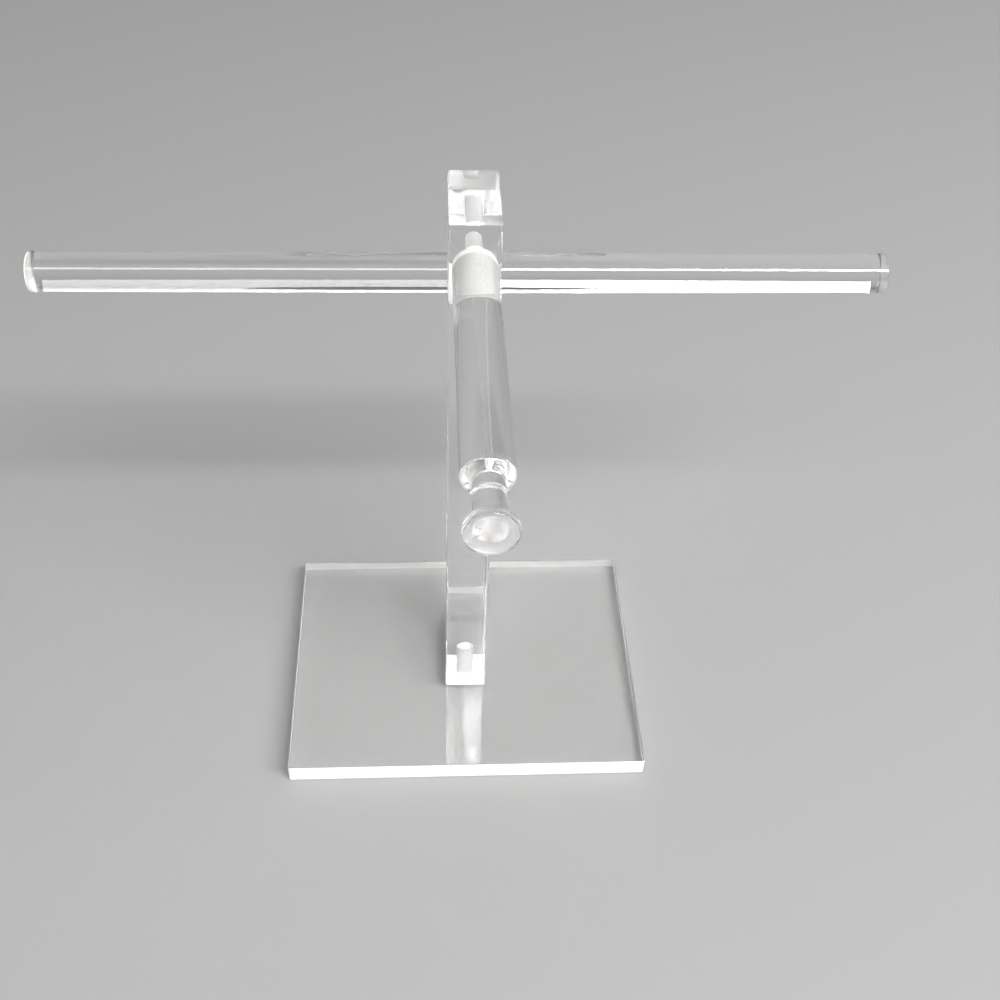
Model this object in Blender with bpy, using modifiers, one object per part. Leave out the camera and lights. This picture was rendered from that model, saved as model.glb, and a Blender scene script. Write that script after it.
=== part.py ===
"""Countertop display stand for one pair of eyeglasses.

A clear base plate carries a rectangular upright bar on one countersunk screw.  A cross rod runs
through the bar and holds the two temples.  A turned peg on a threaded stud points forward and
holds the bridge in the neck behind its end disc.

Metres, +Z up.  The origin is below the middle of the whole stand, on the surface it stands on.
The front of the stand faces -Y.
"""

import math

import bmesh
import bpy
from mathutils import Vector

# Base plate
BASE_WIDTH = 0.087
BASE_DEPTH = 0.068
BASE_THICKNESS = 0.005
BASE_CHAMFER = 0.0003

# Upright bar
BAR_WIDTH = 0.010
BAR_DEPTH = 0.020
BAR_LENGTH = 0.135
BAR_EDGE_RADIUS = 0.0006

# Cross rod, how far below the peg it lies and its place along its bore
CROSS_ROD_DIAMETER = 0.008
CROSS_ROD_LENGTH = 0.168
CROSS_ROD_BELOW_PEG = 0.008
CROSS_ROD_SHIFT = -0.0016
ROD_CHAMFER = 0.0003

# Nose peg: its drop below the bar's top, shank, neck for the bridge, end disc
PEG_DIAMETER = 0.0089
PEG_LENGTH = 0.0703
PEG_DROP = 0.0088
NECK_DIAMETER = 0.0054
NECK_LENGTH = 0.009
NECK_TAPER_LENGTH = 0.0018
DISC_THICKNESS = 0.00155

# Threads: the stud between bar and peg, and the screw between base plate and bar
THREAD_DIAMETER = 0.004
THREAD_PITCH = 0.0007
STUD_DEPTH_IN_BAR = 0.0055
STUD_DEPTH_IN_PEG = 0.011
SCREW_LENGTH = 0.014
SCREW_HEAD_DIAMETER = 0.0075
SCREW_HEAD_SINK = 0.0004
RECESS_SLOT = 0.0009
RECESS_DEPTH = 0.0016
RECESS_WALL = 0.00035

# Tapped holes: thread past the screw's end, drill past the thread, acrylic left behind the nose hole
TAP_PAST_SCREW = 0.0005
DRILL_PAST_TAP = 0.0005
NOSE_HOLE_WALL = 0.0033
DRILL_POINT_ANGLE = math.radians(118)

# Play between touching pieces, and the roundness of turned pieces
GAP = 0.0003
SCREW_CLEARANCE = 0.0006
ROD_SEGMENTS = 64
THREAD_SEGMENTS = 32

# Places worked out from the sizes above
LEFT_REACH = max(BASE_WIDTH / 2, CROSS_ROD_LENGTH / 2 - CROSS_ROD_SHIFT)
RIGHT_REACH = max(BASE_WIDTH / 2, CROSS_ROD_LENGTH / 2 + CROSS_ROD_SHIFT)
FRONT_REACH = max(BASE_DEPTH / 2, BAR_DEPTH / 2 + GAP + PEG_LENGTH)
BACK_REACH = max(BASE_DEPTH, BAR_DEPTH) / 2
UPRIGHT_X = (LEFT_REACH - RIGHT_REACH) / 2
UPRIGHT_Y = (FRONT_REACH - BACK_REACH) / 2
BAR_BOTTOM = BASE_THICKNESS + GAP
BAR_TOP = BAR_BOTTOM + BAR_LENGTH
BAR_FRONT = UPRIGHT_Y - BAR_DEPTH / 2
PEG_HEIGHT = BAR_TOP - PEG_DROP
CROSS_ROD_HEIGHT = PEG_HEIGHT - CROSS_ROD_BELOW_PEG
TAP_DRILL_RADIUS = (THREAD_DIAMETER - THREAD_PITCH) / 2
DRILL_POINT_LENGTH = TAP_DRILL_RADIUS / math.tan(DRILL_POINT_ANGLE / 2)
SCREW_REACH = SCREW_HEAD_SINK + SCREW_LENGTH - BAR_BOTTOM

# Turning a piece modelled along +Z so that it points right, forward or back
POINTS_RIGHT = (0, math.pi / 2, 0)
POINTS_FORWARD = (math.pi / 2, 0, 0)
POINTS_BACK = (-math.pi / 2, 0, 0)
UPRIGHT = (0, 0, 0)


def clear_scene():
    for obj in list(bpy.data.objects):
        bpy.data.objects.remove(obj, do_unlink=True)


def new_collection(name):
    collection = bpy.data.collections.new(name)
    bpy.context.scene.collection.children.link(collection)
    return collection


def new_material(name, color, roughness, metallic=0.0, transmission=0.0, ior=1.49):
    material = bpy.data.materials.new(name)
    material.use_nodes = True
    shader = material.node_tree.nodes["Principled BSDF"]
    shader.inputs["Base Color"].default_value = (*color, 1.0)
    shader.inputs["Roughness"].default_value = roughness
    shader.inputs["Metallic"].default_value = metallic
    shader.inputs["Transmission Weight"].default_value = transmission
    shader.inputs["IOR"].default_value = ior
    return material


def new_object(name, mesh, collection, location, rotation=UPRIGHT, material=None):
    obj = bpy.data.objects.new(name, mesh)
    collection.objects.link(obj)
    obj.location = location
    obj.rotation_euler = rotation
    if material:
        mesh.materials.append(material)
    return obj


def block_mesh(name, width, depth, height, bottom=0.0):
    """A box centred on the Z axis, standing on the height 'bottom'."""
    form = bmesh.new()
    bmesh.ops.create_cube(form, size=1.0)
    bmesh.ops.scale(form, vec=Vector((width, depth, height)), verts=form.verts)
    bmesh.ops.translate(form, vec=Vector((0, 0, bottom + height / 2)), verts=form.verts)
    mesh = bpy.data.meshes.new(name)
    form.to_mesh(mesh)
    form.free()
    return mesh


def outline_mesh(name, outline):
    """The open edge chain of a turned piece's half section: (radius, height) from top to bottom."""
    form = bmesh.new()
    points = [form.verts.new((radius, 0, height)) for radius, height in outline]
    for start, end in zip(points, points[1:]):
        form.edges.new((start, end))
    mesh = bpy.data.meshes.new(name)
    form.to_mesh(mesh)
    form.free()
    return mesh


def turned(name, outline, collection, location, rotation, segments, material=None):
    obj = new_object(name, outline_mesh(name, outline), collection, location, rotation, material)
    spin = obj.modifiers.new("turn", "SCREW")
    spin.axis = "Z"
    spin.steps = segments
    spin.render_steps = segments
    spin.use_smooth_shade = True
    spin.use_merge_vertices = True
    spin.merge_threshold = 0.00001
    return obj


def tapped_hole(screw_depth, drill_depth=None):
    """Wall of a blind hole for a screw that reaches 'screw_depth', from its drill point to its thread."""
    tap_depth = screw_depth + TAP_PAST_SCREW
    full_depth = drill_depth or tap_depth + DRILL_PAST_TAP
    return [
        (0, full_depth + DRILL_POINT_LENGTH),
        (TAP_DRILL_RADIUS, full_depth),
        (TAP_DRILL_RADIUS, tap_depth),
        (THREAD_DIAMETER / 2, tap_depth),
    ]


def opened(wall):
    """The outline of a cutter for a hole that opens at height 0, run on past the face."""
    return [*wall, (wall[-1][0], -GAP), (0, -GAP)]


def rod_outline(radius, length, chamfer):
    """A plain rod from height 0 to 'length', both ends chamfered."""
    return [
        (0, length),
        (radius - chamfer, length),
        (radius, length - chamfer),
        (radius, chamfer),
        (radius - chamfer, 0),
        (0, 0),
    ]


def cut(obj, cutter, name):
    bore = obj.modifiers.new(name, "BOOLEAN")
    bore.operation = "DIFFERENCE"
    bore.solver = "EXACT"
    bore.object = cutter


def as_cutter(obj):
    obj.hide_render = True
    obj.display_type = "WIRE"
    return obj


def round_edges(obj, width, segments, vertical_only):
    """Rounds a block's edges: all twelve, or only the four that run along Z."""
    bevel = obj.modifiers.new("edges", "BEVEL")
    bevel.width = width
    bevel.segments = segments
    bevel.limit_method = "WEIGHT" if vertical_only else "ANGLE"
    if vertical_only:
        weights = obj.data.attributes.new("bevel_weight_edge", "FLOAT", "EDGE")
        for edge in obj.data.edges:
            start, end = (obj.data.vertices[index].co for index in edge.vertices)
            weights.data[edge.index].value = 1.0 if abs(start.z - end.z) > 1e-6 else 0.0


def screw_sizes():
    """Shank radius, head radius and head height of the countersunk base screw."""
    shank = THREAD_DIAMETER / 2 - GAP
    head = SCREW_HEAD_DIAMETER / 2
    return shank, head, head - shank


def make_base_plate(parts, cutters, material):
    shank, head, _ = screw_sizes()
    mesh = block_mesh("base_plate", BASE_WIDTH, BASE_DEPTH, BASE_THICKNESS)
    plate = new_object("base_plate", mesh, parts, (UPRIGHT_X, UPRIGHT_Y, 0), UPRIGHT, material)
    round_edges(plate, BASE_CHAMFER, 1, vertical_only=False)
    # The countersink follows the head's cone, one gap away from it.
    widening = GAP * math.sqrt(2)
    hole = shank + SCREW_CLEARANCE
    mouth = head + widening + SCREW_HEAD_SINK
    outline = [
        (0, BASE_THICKNESS + GAP),
        (hole, BASE_THICKNESS + GAP),
        (hole, mouth - hole),
        (mouth + GAP, -GAP),
        (0, -GAP),
    ]
    place = (UPRIGHT_X, UPRIGHT_Y, 0)
    sink = as_cutter(turned("countersink_cutter", outline, cutters, place, UPRIGHT, ROD_SEGMENTS))
    cut(plate, sink, "countersink")
    return plate


def make_upright_bar(parts, cutters, material):
    mesh = block_mesh("upright_bar", BAR_WIDTH, BAR_DEPTH, BAR_LENGTH)
    bar = new_object("upright_bar", mesh, parts, (UPRIGHT_X, UPRIGHT_Y, BAR_BOTTOM), UPRIGHT, material)
    round_edges(bar, BAR_EDGE_RADIUS, 3, vertical_only=True)
    bore_radius = CROSS_ROD_DIAMETER / 2 + GAP
    bore_length = BAR_WIDTH + 2 * GAP
    bore_start = (UPRIGHT_X - bore_length / 2, UPRIGHT_Y, CROSS_ROD_HEIGHT)
    bore = turned(
        "cross_bore_cutter",
        [(0, bore_length), (bore_radius, bore_length), (bore_radius, 0), (0, 0)],
        cutters,
        bore_start,
        POINTS_RIGHT,
        ROD_SEGMENTS,
    )
    foot = turned(
        "foot_hole_cutter",
        opened(tapped_hole(SCREW_REACH)),
        cutters,
        (UPRIGHT_X, UPRIGHT_Y, BAR_BOTTOM),
        UPRIGHT,
        THREAD_SEGMENTS,
    )
    nose = turned(
        "nose_hole_cutter",
        opened(tapped_hole(STUD_DEPTH_IN_BAR, BAR_DEPTH - NOSE_HOLE_WALL - DRILL_POINT_LENGTH)),
        cutters,
        (UPRIGHT_X, BAR_FRONT, PEG_HEIGHT),
        POINTS_BACK,
        THREAD_SEGMENTS,
    )
    for cutter, name in ((bore, "cross bore"), (foot, "foot hole"), (nose, "nose hole")):
        cut(bar, as_cutter(cutter), name)
    return bar


def make_cross_rod(parts, material):
    place = (UPRIGHT_X + CROSS_ROD_SHIFT, UPRIGHT_Y, CROSS_ROD_HEIGHT)
    outline = rod_outline(CROSS_ROD_DIAMETER / 2, CROSS_ROD_LENGTH, ROD_CHAMFER)
    centred = [(radius, height - CROSS_ROD_LENGTH / 2) for radius, height in outline]
    return turned("cross_rod", centred, parts, place, POINTS_RIGHT, ROD_SEGMENTS, material)


def make_nose_peg(parts, material):
    """The peg stands on height 0 at its root and points along +Z before it is turned forward."""
    radius = PEG_DIAMETER / 2
    neck = NECK_DIAMETER / 2
    disc_back = PEG_LENGTH - DISC_THICKNESS
    neck_back = disc_back - NECK_LENGTH
    outline = [
        (0, PEG_LENGTH),
        (radius - ROD_CHAMFER, PEG_LENGTH),
        (radius, PEG_LENGTH - ROD_CHAMFER),
        (radius, disc_back),
        (neck, disc_back),
        (neck, neck_back),
        (radius, neck_back - NECK_TAPER_LENGTH),
        (radius, ROD_CHAMFER),
        (radius - ROD_CHAMFER, 0),
        (THREAD_DIAMETER / 2, 0),
        *reversed(tapped_hole(STUD_DEPTH_IN_PEG)),
    ]
    place = (UPRIGHT_X, BAR_FRONT - GAP, PEG_HEIGHT)
    return turned("nose_peg", outline, parts, place, POINTS_FORWARD, ROD_SEGMENTS, material)


def make_nose_stud(parts, material):
    length = STUD_DEPTH_IN_BAR + GAP + STUD_DEPTH_IN_PEG
    radius = THREAD_DIAMETER / 2 - GAP
    outline = rod_outline(radius, length, ROD_CHAMFER)
    from_face = [(r, height - STUD_DEPTH_IN_BAR) for r, height in outline]
    place = (UPRIGHT_X, BAR_FRONT, PEG_HEIGHT)
    return turned("nose_stud", from_face, parts, place, POINTS_FORWARD, THREAD_SEGMENTS, material)


def make_base_screw(parts, cutters, material):
    shank, head, head_height = screw_sizes()
    place = (UPRIGHT_X, UPRIGHT_Y, SCREW_HEAD_SINK)
    outline = [
        (0, SCREW_LENGTH),
        (shank - ROD_CHAMFER, SCREW_LENGTH),
        (shank, SCREW_LENGTH - ROD_CHAMFER),
        (shank, head_height),
        (head, 0),
        (0, 0),
    ]
    screw = turned("base_screw", outline, parts, place, UPRIGHT, THREAD_SEGMENTS, material)
    # The cross recess stops one wall short of the head's cone at its full depth.
    recess = 2 * (head - RECESS_DEPTH - RECESS_WALL)
    for name, width, depth in (
        ("recess_slot_x", recess, RECESS_SLOT),
        ("recess_slot_y", RECESS_SLOT, recess),
    ):
        mesh = block_mesh(name, width, depth, RECESS_DEPTH + GAP, bottom=-GAP)
        slot = as_cutter(new_object(name, mesh, cutters, place))
        cut(screw, slot, name)
    return screw


def joint_axis_empty(name, collection, place):
    empty = bpy.data.objects.new(name, None)
    collection.objects.link(empty)
    empty.location = place
    return empty


def attach(child, parent):
    """Parents a piece without moving it."""
    bpy.context.view_layer.update()
    child.parent = parent
    child.matrix_parent_inverse = parent.matrix_world.inverted()


def main():
    clear_scene()
    parts = new_collection("eyeglasses_display_stand")
    cutters = new_collection("cutters")
    acrylic = new_material("clear_acrylic", (0.93, 0.95, 0.94), 0.03, transmission=1.0)
    nylon = new_material("natural_nylon", (0.86, 0.84, 0.78), 0.4)
    steel = new_material("zinc_plated_steel", (0.62, 0.62, 0.60), 0.3, metallic=1.0)

    make_base_plate(parts, cutters, acrylic)
    bar = make_upright_bar(parts, cutters, acrylic)
    rod = make_cross_rod(parts, acrylic)
    peg = make_nose_peg(parts, acrylic)
    stud = make_nose_stud(parts, nylon)
    screw = make_base_screw(parts, cutters, steel)

    swivel = joint_axis_empty("upright_swivel_axis", parts, (UPRIGHT_X, UPRIGHT_Y, BAR_BOTTOM))
    for piece in (bar, rod, peg, stud, screw):
        attach(piece, swivel)


main()
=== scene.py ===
"""Looks of a clear acrylic display stand for one pair of eyeglasses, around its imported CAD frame.

Every acrylic piece is rebuilt on the CAD node's own size with rounded edges, drilled and tapped
holes, and its own finish on sawn, drilled and polished faces.
"""

import math

import bmesh
import bpy
from mathutils import Matrix, Vector


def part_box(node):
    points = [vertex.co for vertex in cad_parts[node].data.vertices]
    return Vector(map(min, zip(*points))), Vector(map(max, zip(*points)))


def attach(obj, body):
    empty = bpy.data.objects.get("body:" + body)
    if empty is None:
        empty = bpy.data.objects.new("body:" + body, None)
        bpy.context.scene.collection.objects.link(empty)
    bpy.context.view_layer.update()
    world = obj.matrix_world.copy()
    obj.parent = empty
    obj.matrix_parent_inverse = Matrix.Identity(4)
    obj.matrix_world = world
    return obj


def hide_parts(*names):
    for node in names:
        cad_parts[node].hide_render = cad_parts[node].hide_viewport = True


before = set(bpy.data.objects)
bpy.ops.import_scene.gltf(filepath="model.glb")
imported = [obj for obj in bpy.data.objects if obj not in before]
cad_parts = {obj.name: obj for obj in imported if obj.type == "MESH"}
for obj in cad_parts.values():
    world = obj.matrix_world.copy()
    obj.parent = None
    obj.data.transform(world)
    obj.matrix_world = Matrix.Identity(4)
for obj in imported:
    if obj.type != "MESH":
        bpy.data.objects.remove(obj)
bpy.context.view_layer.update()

MM = 0.001

# Camera: where it stands, how it is turned and its lens on a 36 mm sensor
CAMERA_PLACE = (-0.00779, -0.18558, 0.26146)
CAMERA_YAW = math.radians(4.632)
CAMERA_PITCH = math.radians(43.672)
CAMERA_ROLL = math.radians(2.722)
CAMERA_LENS = 44.98

# Light: the lamp is bright, and the glow beside it is the ceiling next to it. Place, aim, size and power
LAMP = ((1.02, -0.80, 1.18), (1.02, 0.0, 0.12), (1.96, 0.24), 56.0)
GLOW = ((-0.28, -0.80, 1.18), (-0.28, 0.0, 0.12), (0.64, 0.24), 5.0)
HORIZON_GREY = (0.13, 0.13, 0.134, 1)
ZENITH_GREY = (0.65, 0.65, 0.65, 1)
FLOOR_GREY = (0.275, 0.275, 0.273, 1.0)
# Light runs along the rods and the bar by many inner reflections before it leaves them
LIGHT_BOUNCES = 40

# Finishes, as slot numbers on every acrylic piece
POLISHED, SAWN, BORED, SATIN, TAPPED = range(5)

# Roundness, and the flat strip that keeps each rounded corner's shading off the faces beside it
ROUND_SEGMENTS = 192
HOLE_SEGMENTS = 96
SCREW_SEGMENTS = 64
CORNER_STEPS = 6
SUPPORT = 0.04 * MM
# Points this close are one point, after a hole is cut
WELD = 0.001 * MM

# Thread of the stud and the screw, and of the holes they sit in
PITCH = 0.7 * MM
THREAD_DEPTH = 0.35 * MM
HOLE_THREAD_RADIUS = 2.15 * MM
TURN_SAMPLES = 8
TAP_DRILL_RADIUS = 1.65 * MM
DRILL_POINT_ANGLE = math.radians(118)
DRILL_POINT = TAP_DRILL_RADIUS / math.tan(DRILL_POINT_ANGLE / 2)

# Acrylic sizes that the CAD boxes don't show
BAR_EDGE_RADIUS = 0.6 * MM
SAWN_EDGE = 0.12 * MM
PLATE_CORNER_RADIUS = 0.6 * MM
PLATE_EDGE = 0.25 * MM
ROD_EDGE = 0.3 * MM
NECK_RADIUS = 2.7 * MM
NECK_LENGTH = 9.0 * MM
NECK_TAPER = 1.8 * MM
NECK_FILLET = 0.9 * MM
DISC_THICKNESS = 1.55 * MM
NOSE_TAP_DEPTH = 6.0 * MM
NOSE_DRILL_DEPTH = 15.7 * MM
PEG_TAP_DEPTH = 11.5 * MM
PEG_DRILL_DEPTH = 12.0 * MM
FOOT_TAP_DEPTH = 9.6 * MM
FOOT_DRILL_DEPTH = 10.1 * MM
BORE_PLAY = 0.3 * MM
# A cutter runs this far past the face that it opens
CUTTER_PAST_FACE = MM

# The screw up through the plate into the bar's foot
SCREW_RADIUS = 1.7 * MM
SCREW_HOLE_RADIUS = 2.3 * MM
SCREW_HEAD_RIM = 0.15 * MM
RECESS_WIDTH = 4.2 * MM
RECESS_SLOT = 0.9 * MM
RECESS_HEIGHT = 3.2 * MM
RECESS_TAPER = (0.55, 0.8)

# The floor lies a hair below the plate, so that light gets between the two, and runs out to the horizon
FLOOR_GAP = 0.2 * MM
FLOOR_REACH = 40.0


# ---------------------------------------------------------------- materials


def node_material(name):
    material = bpy.data.materials.new(name)
    material.use_nodes = True
    tree = material.node_tree
    return material, tree, tree.nodes["Principled BSDF"]


def object_position(tree):
    return tree.nodes.new("ShaderNodeTexCoord").outputs["Object"]


def noise(tree, vector, scale, detail=4.0, stretch=(1, 1, 1)):
    """A noise pattern, 'scale' features to the metre, drawn out along the axes where stretch is small."""
    mapping = tree.nodes.new("ShaderNodeMapping")
    mapping.inputs["Scale"].default_value = stretch
    tree.links.new(vector, mapping.inputs["Vector"])
    texture = tree.nodes.new("ShaderNodeTexNoise")
    texture.inputs["Scale"].default_value = scale
    texture.inputs["Detail"].default_value = detail
    tree.links.new(mapping.outputs["Vector"], texture.inputs["Vector"])
    return texture.outputs["Fac"]


def remap(tree, value, low, high, to_low, to_high):
    node = tree.nodes.new("ShaderNodeMapRange")
    node.inputs["From Min"].default_value = low
    node.inputs["From Max"].default_value = high
    node.inputs["To Min"].default_value = to_low
    node.inputs["To Max"].default_value = to_high
    tree.links.new(value, node.inputs["Value"])
    return node.outputs["Result"]


def bump(tree, shader, height, strength, distance):
    node = tree.nodes.new("ShaderNodeBump")
    node.inputs["Strength"].default_value = strength
    node.inputs["Distance"].default_value = distance
    tree.links.new(height, node.inputs["Height"])
    tree.links.new(node.outputs["Normal"], shader.inputs["Normal"])


def acrylic(name, color, transmission, specular, rough, grain, grain_strength, stretch=(1, 1, 1)):
    """Acrylic, from clear to white: 'rough' is its roughness from and to, 'grain' the scale of its marks."""
    material, tree, shader = node_material(name)
    shader.inputs["Base Color"].default_value = (*color, 1.0)
    shader.inputs["IOR"].default_value = 1.491
    shader.inputs["Specular IOR Level"].default_value = specular
    shader.inputs["Transmission Weight"].default_value = transmission
    place = object_position(tree)
    wipe = noise(tree, place, 90.0, 5.0)
    roughness = remap(tree, wipe, 0.42, 0.68, *rough)
    tree.links.new(roughness, shader.inputs["Roughness"])
    marks = noise(tree, place, grain, 6.0, stretch)
    bump(tree, shader, marks, grain_strength, 0.02 * MM)
    return material


def plain_solid(name, color, dark, roughness, metallic=0.0, subsurface=0.0):
    material, tree, shader = node_material(name)
    shader.inputs["Metallic"].default_value = metallic
    shader.inputs["Subsurface Weight"].default_value = subsurface
    shader.inputs["Subsurface Scale"].default_value = MM
    place = object_position(tree)
    speckle = noise(tree, place, 1400.0, 4.0)
    ramp = tree.nodes.new("ShaderNodeValToRGB")
    ramp.color_ramp.elements[0].position = 0.35
    ramp.color_ramp.elements[0].color = (*dark, 1.0)
    ramp.color_ramp.elements[1].position = 0.6
    ramp.color_ramp.elements[1].color = (*color, 1.0)
    tree.links.new(speckle, ramp.inputs["Fac"])
    tree.links.new(ramp.outputs["Color"], shader.inputs["Base Color"])
    gloss = remap(tree, speckle, 0.3, 0.7, roughness - 0.08, roughness + 0.1)
    tree.links.new(gloss, shader.inputs["Roughness"])
    bump(tree, shader, noise(tree, place, 6000.0, 3.0), 0.15, 0.02 * MM)
    return material


CLEAR = (0.998, 0.999, 0.999)
WHITE = (0.98, 0.98, 0.975)
MILKY = (0.72, 0.715, 0.71)
SAW_MARKS = (0.15, 1, 1)
DRILL_MARKS = (1, 1, 0.3)
polished = acrylic("acrylic_polished", CLEAR, 1.0, 0.5, (0.0, 0.02), 5000.0, 0.002)
sawn = acrylic("acrylic_sawn", WHITE, 0.15, 0.2, (0.32, 0.5), 2600.0, 0.5, SAW_MARKS)
bored = acrylic("acrylic_drilled", WHITE, 0.02, 0.0, (0.3, 0.45), 3200.0, 0.35, DRILL_MARKS)
satin = acrylic("acrylic_satin", WHITE, 0.85, 0.5, (0.26, 0.34), 2600.0, 0.1)
tapped = acrylic("acrylic_tapped", MILKY, 0.35, 0.2, (0.3, 0.45), 3200.0, 0.2, DRILL_MARKS)
nylon = plain_solid("natural_nylon", (0.92, 0.90, 0.84), (0.86, 0.84, 0.77), 0.42, subsurface=0.35)
steel = plain_solid("zinc_plated_steel", (0.68, 0.68, 0.66), (0.50, 0.50, 0.49), 0.28, metallic=1.0)
ACRYLIC_FINISHES = (polished, sawn, bored, satin, tapped)


# ---------------------------------------------------------------- turned pieces


def softened(outline):
    """Rounds the corners of a half section.

    Each point is (radius, height, corner radius, finish of the stretch that follows, thread depth).
    """
    points = []
    for index, (radius, height, corner, finish, thread) in enumerate(outline):
        here = Vector((radius, height))
        if corner <= 0 or index in (0, len(outline) - 1):
            points.append((radius, height, finish, thread))
            continue
        before = Vector(outline[index - 1][:2]) - here
        after = Vector(outline[index + 1][:2]) - here
        start = before.normalized()
        end = after.normalized()
        half_turn = (math.pi - start.angle(end)) / 2
        room = 0.45 * min(before.length, after.length)
        trim = min(corner * math.tan(half_turn), room - SUPPORT)
        last_finish = outline[index - 1][3]
        points.append((*(here + start * (trim + SUPPORT)), last_finish, thread))
        for step in range(CORNER_STEPS + 1):
            t = step / CORNER_STEPS
            place = here + start * trim * (1 - t) ** 2 + end * trim * t**2
            points.append((*place, finish, thread))
        points.append((*(here + end * (trim + SUPPORT)), finish, thread))
    return points


def thread_wave(turns):
    """0 at the crest and 1 at the root, over one turn, with small flats at both."""
    ramp = abs(2 * (turns % 1.0) - 1)
    return min(1.0, max(0.0, 1.3 * ramp - 0.15))


def threaded_stretch(radius, start, end, depth, finish):
    """Outline points of a thread between two heights, running out at both ends."""
    count = max(2, round(abs(end - start) / PITCH * TURN_SAMPLES))
    points = []
    for step in range(count + 1):
        height = start + (end - start) * step / count
        fade = min(1.0, 4 * min(step, count - step) / TURN_SAMPLES / 2)
        points.append((radius, height, 0, finish, depth * fade))
    return points


def turned(name, outline, segments, place, finishes):
    """A piece turned round its own Z axis, put at 'place' by its matrix."""
    form = bmesh.new()
    rings = []
    points = softened(outline)
    for radius, height, _, thread in points:
        if radius <= 0:
            rings.append([form.verts.new((0, 0, height))])
            continue
        ring = []
        for step in range(segments):
            turn = step / segments
            reach = radius - (thread * thread_wave(height / PITCH - turn) if thread else 0.0)
            angle = 2 * math.pi * turn
            ring.append(form.verts.new((reach * math.cos(angle), reach * math.sin(angle), height)))
        rings.append(ring)
    for (upper, lower), (_, _, finish, _) in zip(zip(rings, rings[1:]), points):
        for step in range(segments):
            follow = (step + 1) % segments
            corners = [upper[step % len(upper)], lower[step % len(lower)]]
            corners += [lower[follow]] if len(lower) > 1 else []
            corners += [upper[follow]] if len(upper) > 1 else []
            face = form.faces.new(corners)
            face.material_index = finish
            face.smooth = True
    bmesh.ops.recalc_face_normals(form, faces=form.faces)
    return finished(name, form, place, finishes)


def finished(name, form, place, finishes):
    """The form as an object of the scene, moved by the matrix 'place', with its finishes in their slots."""
    mesh = bpy.data.meshes.new(name)
    form.to_mesh(mesh)
    form.free()
    mesh.transform(place)
    for material in finishes:
        mesh.materials.append(material)
    piece = bpy.data.objects.new(name, mesh)
    bpy.context.scene.collection.objects.link(piece)
    return piece


def blind_hole(thread_depth, drill_depth, thread_finish):
    """Outline of a tapped blind hole opening at height 0, seen as a solid that fills it."""
    return [
        (0, drill_depth + DRILL_POINT, 0, BORED, 0),
        (TAP_DRILL_RADIUS, drill_depth, 0, BORED, 0),
        (TAP_DRILL_RADIUS, thread_depth, 0, BORED, 0),
        *threaded_stretch(HOLE_THREAD_RADIUS, thread_depth, 0, THREAD_DEPTH, thread_finish),
        (HOLE_THREAD_RADIUS, -CUTTER_PAST_FACE, 0, BORED, 0),
        (0, -CUTTER_PAST_FACE, 0, BORED, 0),
    ]


# ---------------------------------------------------------------- blocks


def block(name, low, high, upright_radius, flat_radius, face_finish):
    """A box with rounded upright edges, eased flat edges, and a finish for each face by its normal."""
    form = bmesh.new()
    bmesh.ops.create_cube(form, size=1.0)
    size = high - low
    bmesh.ops.scale(form, vec=size, verts=form.verts)
    bmesh.ops.translate(form, vec=(low + high) / 2, verts=form.verts)

    def round_edges(chosen, radius, steps):
        edges = [edge for edge in form.edges if chosen(abs(edge.verts[0].co.z - edge.verts[1].co.z))]
        bmesh.ops.bevel(form, geom=edges, offset=radius, segments=steps, profile=0.5, affect="EDGES")

    round_edges(lambda rise: rise > size.z / 2, upright_radius, CORNER_STEPS)
    round_edges(lambda rise: rise == 0, flat_radius, CORNER_STEPS // 2)
    for face in form.faces:
        face.material_index = face_finish(face.normal)
    return finished(name, form, Matrix.Identity(4), ACRYLIC_FINISHES)


def bored_out(piece, cutters):
    """The piece with every cutter taken out of it; the cutters' own finishes line the holes."""
    for cutter in cutters:
        hole = piece.modifiers.new(cutter.name, "BOOLEAN")
        hole.operation = "DIFFERENCE"
        hole.solver = "EXACT"
        hole.material_mode = "INDEX"
        hole.object = cutter
    bpy.context.view_layer.update()
    evaluated = piece.evaluated_get(bpy.context.evaluated_depsgraph_get())
    mesh = bpy.data.meshes.new_from_object(evaluated)
    form = bmesh.new()
    form.from_mesh(mesh)
    bmesh.ops.remove_doubles(form, verts=form.verts, dist=WELD)
    bmesh.ops.dissolve_degenerate(form, dist=WELD, edges=form.edges)
    form.to_mesh(mesh)
    form.free()
    piece.modifiers.clear()
    piece.data = mesh
    for cutter in cutters:
        bpy.data.objects.remove(cutter)
    return piece


# ---------------------------------------------------------------- places


def facing(direction, place):
    """The matrix that turns +Z to 'direction' and moves the origin to 'place'."""
    turn = Vector(direction).to_track_quat("Z", "Y").to_matrix().to_4x4()
    return Matrix.Translation(place) @ turn


def node_box(name):
    low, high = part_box(name)
    return low, high, (low + high) / 2, high - low


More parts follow.
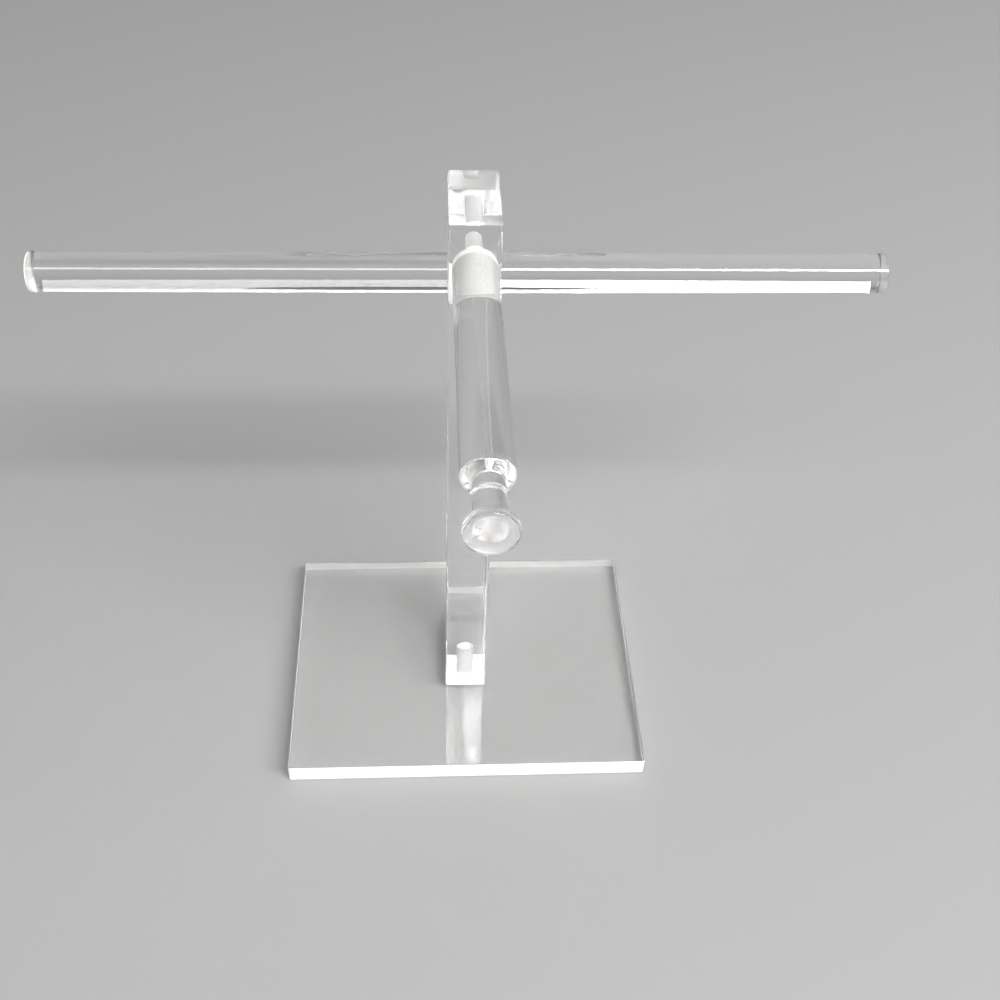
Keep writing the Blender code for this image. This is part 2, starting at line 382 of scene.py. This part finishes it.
def make_base_plate():
    low, high, _, size = node_box("base_plate")
    head_low, _, head_middle, head_size = node_box("base_screw")

    def sides_sawn(normal):
        return SAWN if abs(normal.z) < 0.5 else POLISHED

    plate = block("clear_base_plate", low, high, PLATE_CORNER_RADIUS, PLATE_EDGE, sides_sawn)
    # The countersink's cone is 90 degrees, as the head's, and keeps the same play to it all round
    mouth = head_size.x / 2 + BORE_PLAY * math.sqrt(2) + (head_low.z - low.z)
    top = size.z + CUTTER_PAST_FACE
    outline = [
        (0, top, 0, BORED, 0),
        (SCREW_HOLE_RADIUS, top, 0, BORED, 0),
        (SCREW_HOLE_RADIUS, mouth - SCREW_HOLE_RADIUS, 0, BORED, 0),
        (mouth + CUTTER_PAST_FACE, -CUTTER_PAST_FACE, 0, BORED, 0),
        (0, -CUTTER_PAST_FACE, 0, BORED, 0),
    ]
    place = facing((0, 0, 1), (head_middle.x, head_middle.y, low.z))
    sink = turned("countersink", outline, HOLE_SEGMENTS, place, ACRYLIC_FINISHES)
    return bored_out(plate, [sink])


def make_upright():
    low, high, middle, size = node_box("upright_bar")
    _, _, rod_middle, rod_size = node_box("cross_rod")
    _, _, peg_middle, _ = node_box("nose_peg")

    def foot_sawn(normal):
        return SAWN if normal.z < -0.5 else POLISHED

    bar = block("clear_upright", low, high, BAR_EDGE_RADIUS, SAWN_EDGE, foot_sawn)
    bore_radius = rod_size.z / 2 + BORE_PLAY
    bore_length = size.x + 2 * CUTTER_PAST_FACE
    bore = [
        (0, bore_length, 0, BORED, 0),
        (bore_radius, bore_length, 0, BORED, 0),
        (bore_radius, 0, 0, BORED, 0),
        (0, 0, 0, BORED, 0),
    ]
    cross = turned(
        "cross_bore",
        bore,
        ROUND_SEGMENTS,
        facing((1, 0, 0), (middle.x - bore_length / 2, rod_middle.y, rod_middle.z)),
        ACRYLIC_FINISHES,
    )
    nose = turned(
        "nose_hole",
        blind_hole(NOSE_TAP_DEPTH, NOSE_DRILL_DEPTH, BORED),
        HOLE_SEGMENTS,
        facing((0, 1, 0), (peg_middle.x, low.y, peg_middle.z)),
        ACRYLIC_FINISHES,
    )
    foot = turned(
        "foot_hole",
        blind_hole(FOOT_TAP_DEPTH, FOOT_DRILL_DEPTH, TAPPED),
        HOLE_SEGMENTS,
        facing((0, 0, 1), (middle.x, middle.y, low.z)),
        ACRYLIC_FINISHES,
    )
    return bored_out(bar, [cross, nose, foot])


def make_cross_rod():
    low, _, middle, size = node_box("cross_rod")
    radius = size.z / 2
    outline = [
        (0, size.x, 0, SAWN, 0),
        (radius, size.x, ROD_EDGE, POLISHED, 0),
        (radius, 0, ROD_EDGE, SAWN, 0),
        (0, 0, 0, SAWN, 0),
    ]
    place = facing((1, 0, 0), (low.x, middle.y, middle.z))
    return turned("clear_cross_rod", outline, ROUND_SEGMENTS, place, ACRYLIC_FINISHES)


def make_nose_peg():
    _, high, middle, size = node_box("nose_peg")
    radius = size.x / 2
    length = size.y
    disc_back = length - DISC_THICKNESS
    neck_back = disc_back - NECK_LENGTH
    outline = [
        (0, length, 0, SATIN, 0),
        (radius, length, ROD_EDGE, POLISHED, 0),
        (radius, disc_back, 0.15 * MM, POLISHED, 0),
        (NECK_RADIUS, disc_back, NECK_FILLET / 3, POLISHED, 0),
        (NECK_RADIUS, neck_back, NECK_FILLET, POLISHED, 0),
        (radius, neck_back - NECK_TAPER, NECK_FILLET, POLISHED, 0),
        (radius, 0, ROD_EDGE, SAWN, 0),
        (HOLE_THREAD_RADIUS, 0, 0, TAPPED, 0),
        *threaded_stretch(HOLE_THREAD_RADIUS, 0.05 * MM, PEG_TAP_DEPTH, THREAD_DEPTH, TAPPED),
        (TAP_DRILL_RADIUS, PEG_TAP_DEPTH + 0.02 * MM, 0, TAPPED, 0),
        (TAP_DRILL_RADIUS, PEG_DRILL_DEPTH, 0, TAPPED, 0),
        (0, PEG_DRILL_DEPTH + DRILL_POINT, 0, TAPPED, 0),
    ]
    place = facing((0, -1, 0), (middle.x, high.y, middle.z))
    return turned("clear_nose_peg", outline, ROUND_SEGMENTS, place, ACRYLIC_FINISHES)


def make_stud():
    _, high, middle, size = node_box("nose_stud")
    radius = size.x / 2
    inner = radius - THREAD_DEPTH
    outline = [
        (0, size.y, 0, 0, 0),
        (inner, size.y, 0, 0, 0),
        *threaded_stretch(radius, size.y - 0.3 * MM, 0.3 * MM, THREAD_DEPTH, 0),
        (inner, 0, 0, 0, 0),
        (0, 0, 0, 0, 0),
    ]
    place = facing((0, -1, 0), (middle.x, high.y, middle.z))
    return turned("threaded_stud", outline, SCREW_SEGMENTS, place, (nylon,))


def make_screw():
    low, _, middle, size = node_box("base_screw")
    head = size.x / 2
    cone_end = head - SCREW_RADIUS
    outline = [
        (0, size.z, 0, 0, 0),
        (SCREW_RADIUS - THREAD_DEPTH, size.z, 0, 0, 0),
        *threaded_stretch(SCREW_RADIUS, size.z - 0.4 * MM, cone_end + 0.8 * MM, THREAD_DEPTH, 0),
        (SCREW_RADIUS, cone_end, 0.2 * MM, 0, 0),
        (head, SCREW_HEAD_RIM, 0.1 * MM, 0, 0),
        (head, 0, 0, 0, 0),
        (0, 0, 0, 0, 0),
    ]
    place = Matrix.Translation((middle.x, middle.y, low.z))
    screw = turned("countersunk_screw", outline, SCREW_SEGMENTS, place, (steel,))
    return bored_out(screw, [recess_blade("slot_x", 0, place), recess_blade("slot_y", 1, place)])


def recess_blade(name, long_axis, place):
    """One bar of the screw's cross recess, long along X (0) or Y (1), narrower at its upper end."""
    span = [RECESS_SLOT, RECESS_SLOT, RECESS_HEIGHT]
    span[long_axis] = RECESS_WIDTH
    form = bmesh.new()
    bmesh.ops.create_cube(form, size=1.0)
    bmesh.ops.scale(form, vec=span, verts=form.verts)
    for vertex in form.verts:
        if vertex.co.z > 0:
            vertex.co[long_axis] *= RECESS_TAPER[0]
            vertex.co[1 - long_axis] *= RECESS_TAPER[1]
    return finished(name, form, place, (steel,))


# ---------------------------------------------------------------- stage


def area_light(name, place, target, size, power):
    data = bpy.data.lights.new(name, "AREA")
    data.shape = "RECTANGLE"
    data.size, data.size_y = size
    data.energy = power
    light = bpy.data.objects.new(name, data)
    bpy.context.scene.collection.objects.link(light)
    light.location = place
    light.rotation_euler = (Vector(target) - Vector(place)).to_track_quat("-Z", "Y").to_euler()


def make_floor():
    form = bmesh.new()
    bmesh.ops.create_grid(form, x_segments=1, y_segments=1, size=FLOOR_REACH)
    material, _, shader = node_material("pale_floor")
    shader.inputs["Base Color"].default_value = FLOOR_GREY
    shader.inputs["Roughness"].default_value = 0.6
    finished("floor", form, Matrix.Translation((0, 0, -FLOOR_GAP)), (material,))


def make_world():
    """Soft studio surroundings: dim low down all round, brighter overhead."""
    world = bpy.data.worlds.new("studio")
    bpy.context.scene.world = world
    world.use_nodes = True
    tree = world.node_tree
    direction = tree.nodes.new("ShaderNodeTexCoord").outputs["Generated"]
    split = tree.nodes.new("ShaderNodeSeparateXYZ")
    tree.links.new(direction, split.inputs["Vector"])
    ramp = tree.nodes.new("ShaderNodeValToRGB")
    ramp.color_ramp.elements[0].position = 0.0
    ramp.color_ramp.elements[0].color = HORIZON_GREY
    ramp.color_ramp.elements[1].position = 1.0
    ramp.color_ramp.elements[1].color = ZENITH_GREY
    tree.links.new(split.outputs["Z"], ramp.inputs["Fac"])
    background = tree.nodes["Background"]
    tree.links.new(ramp.outputs["Color"], background.inputs["Color"])
    background.inputs["Strength"].default_value = 1.0


def make_camera():
    data = bpy.data.cameras.new("camera")
    data.sensor_width = 36.0
    data.lens = CAMERA_LENS
    data.clip_start = 0.01
    camera = bpy.data.objects.new("camera", data)
    bpy.context.scene.collection.objects.link(camera)
    turn = (
        Matrix.Rotation(-CAMERA_YAW, 4, "Z")
        @ Matrix.Rotation(math.pi / 2 - CAMERA_PITCH, 4, "X")
        @ Matrix.Rotation(CAMERA_ROLL, 4, "Z")
    )
    camera.matrix_world = Matrix.Translation(CAMERA_PLACE) @ turn
    bpy.context.scene.camera = camera


make_camera()
make_world()
make_floor()
area_light("ceiling_lamp", *LAMP)
area_light("ceiling_glow", *GLOW)

bpy.context.scene.view_settings.view_transform = "Standard"
tracing = bpy.context.scene.cycles
tracing.max_bounces = LIGHT_BOUNCES
tracing.glossy_bounces = LIGHT_BOUNCES
tracing.transmission_bounces = LIGHT_BOUNCES
# With the glossy filter on, too little light passes through the plate, and the floor below it goes dark
tracing.blur_glossy = 0.0
tracing.sample_clamp_indirect = 0.0

for make, body, node, slot in (
    (make_base_plate, "base", "base_plate", "acrylic"),
    (make_upright, "upright", "upright_bar", "acrylic"),
    (make_cross_rod, "rod", "cross_rod", "acrylic"),
    (make_nose_peg, "peg", "nose_peg", "acrylic"),
    (make_stud, "upright", "nose_stud", "nylon"),
    (make_screw, "upright", "base_screw", "screw_steel"),
):
    piece = make()
    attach(piece, body)
    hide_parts(node)
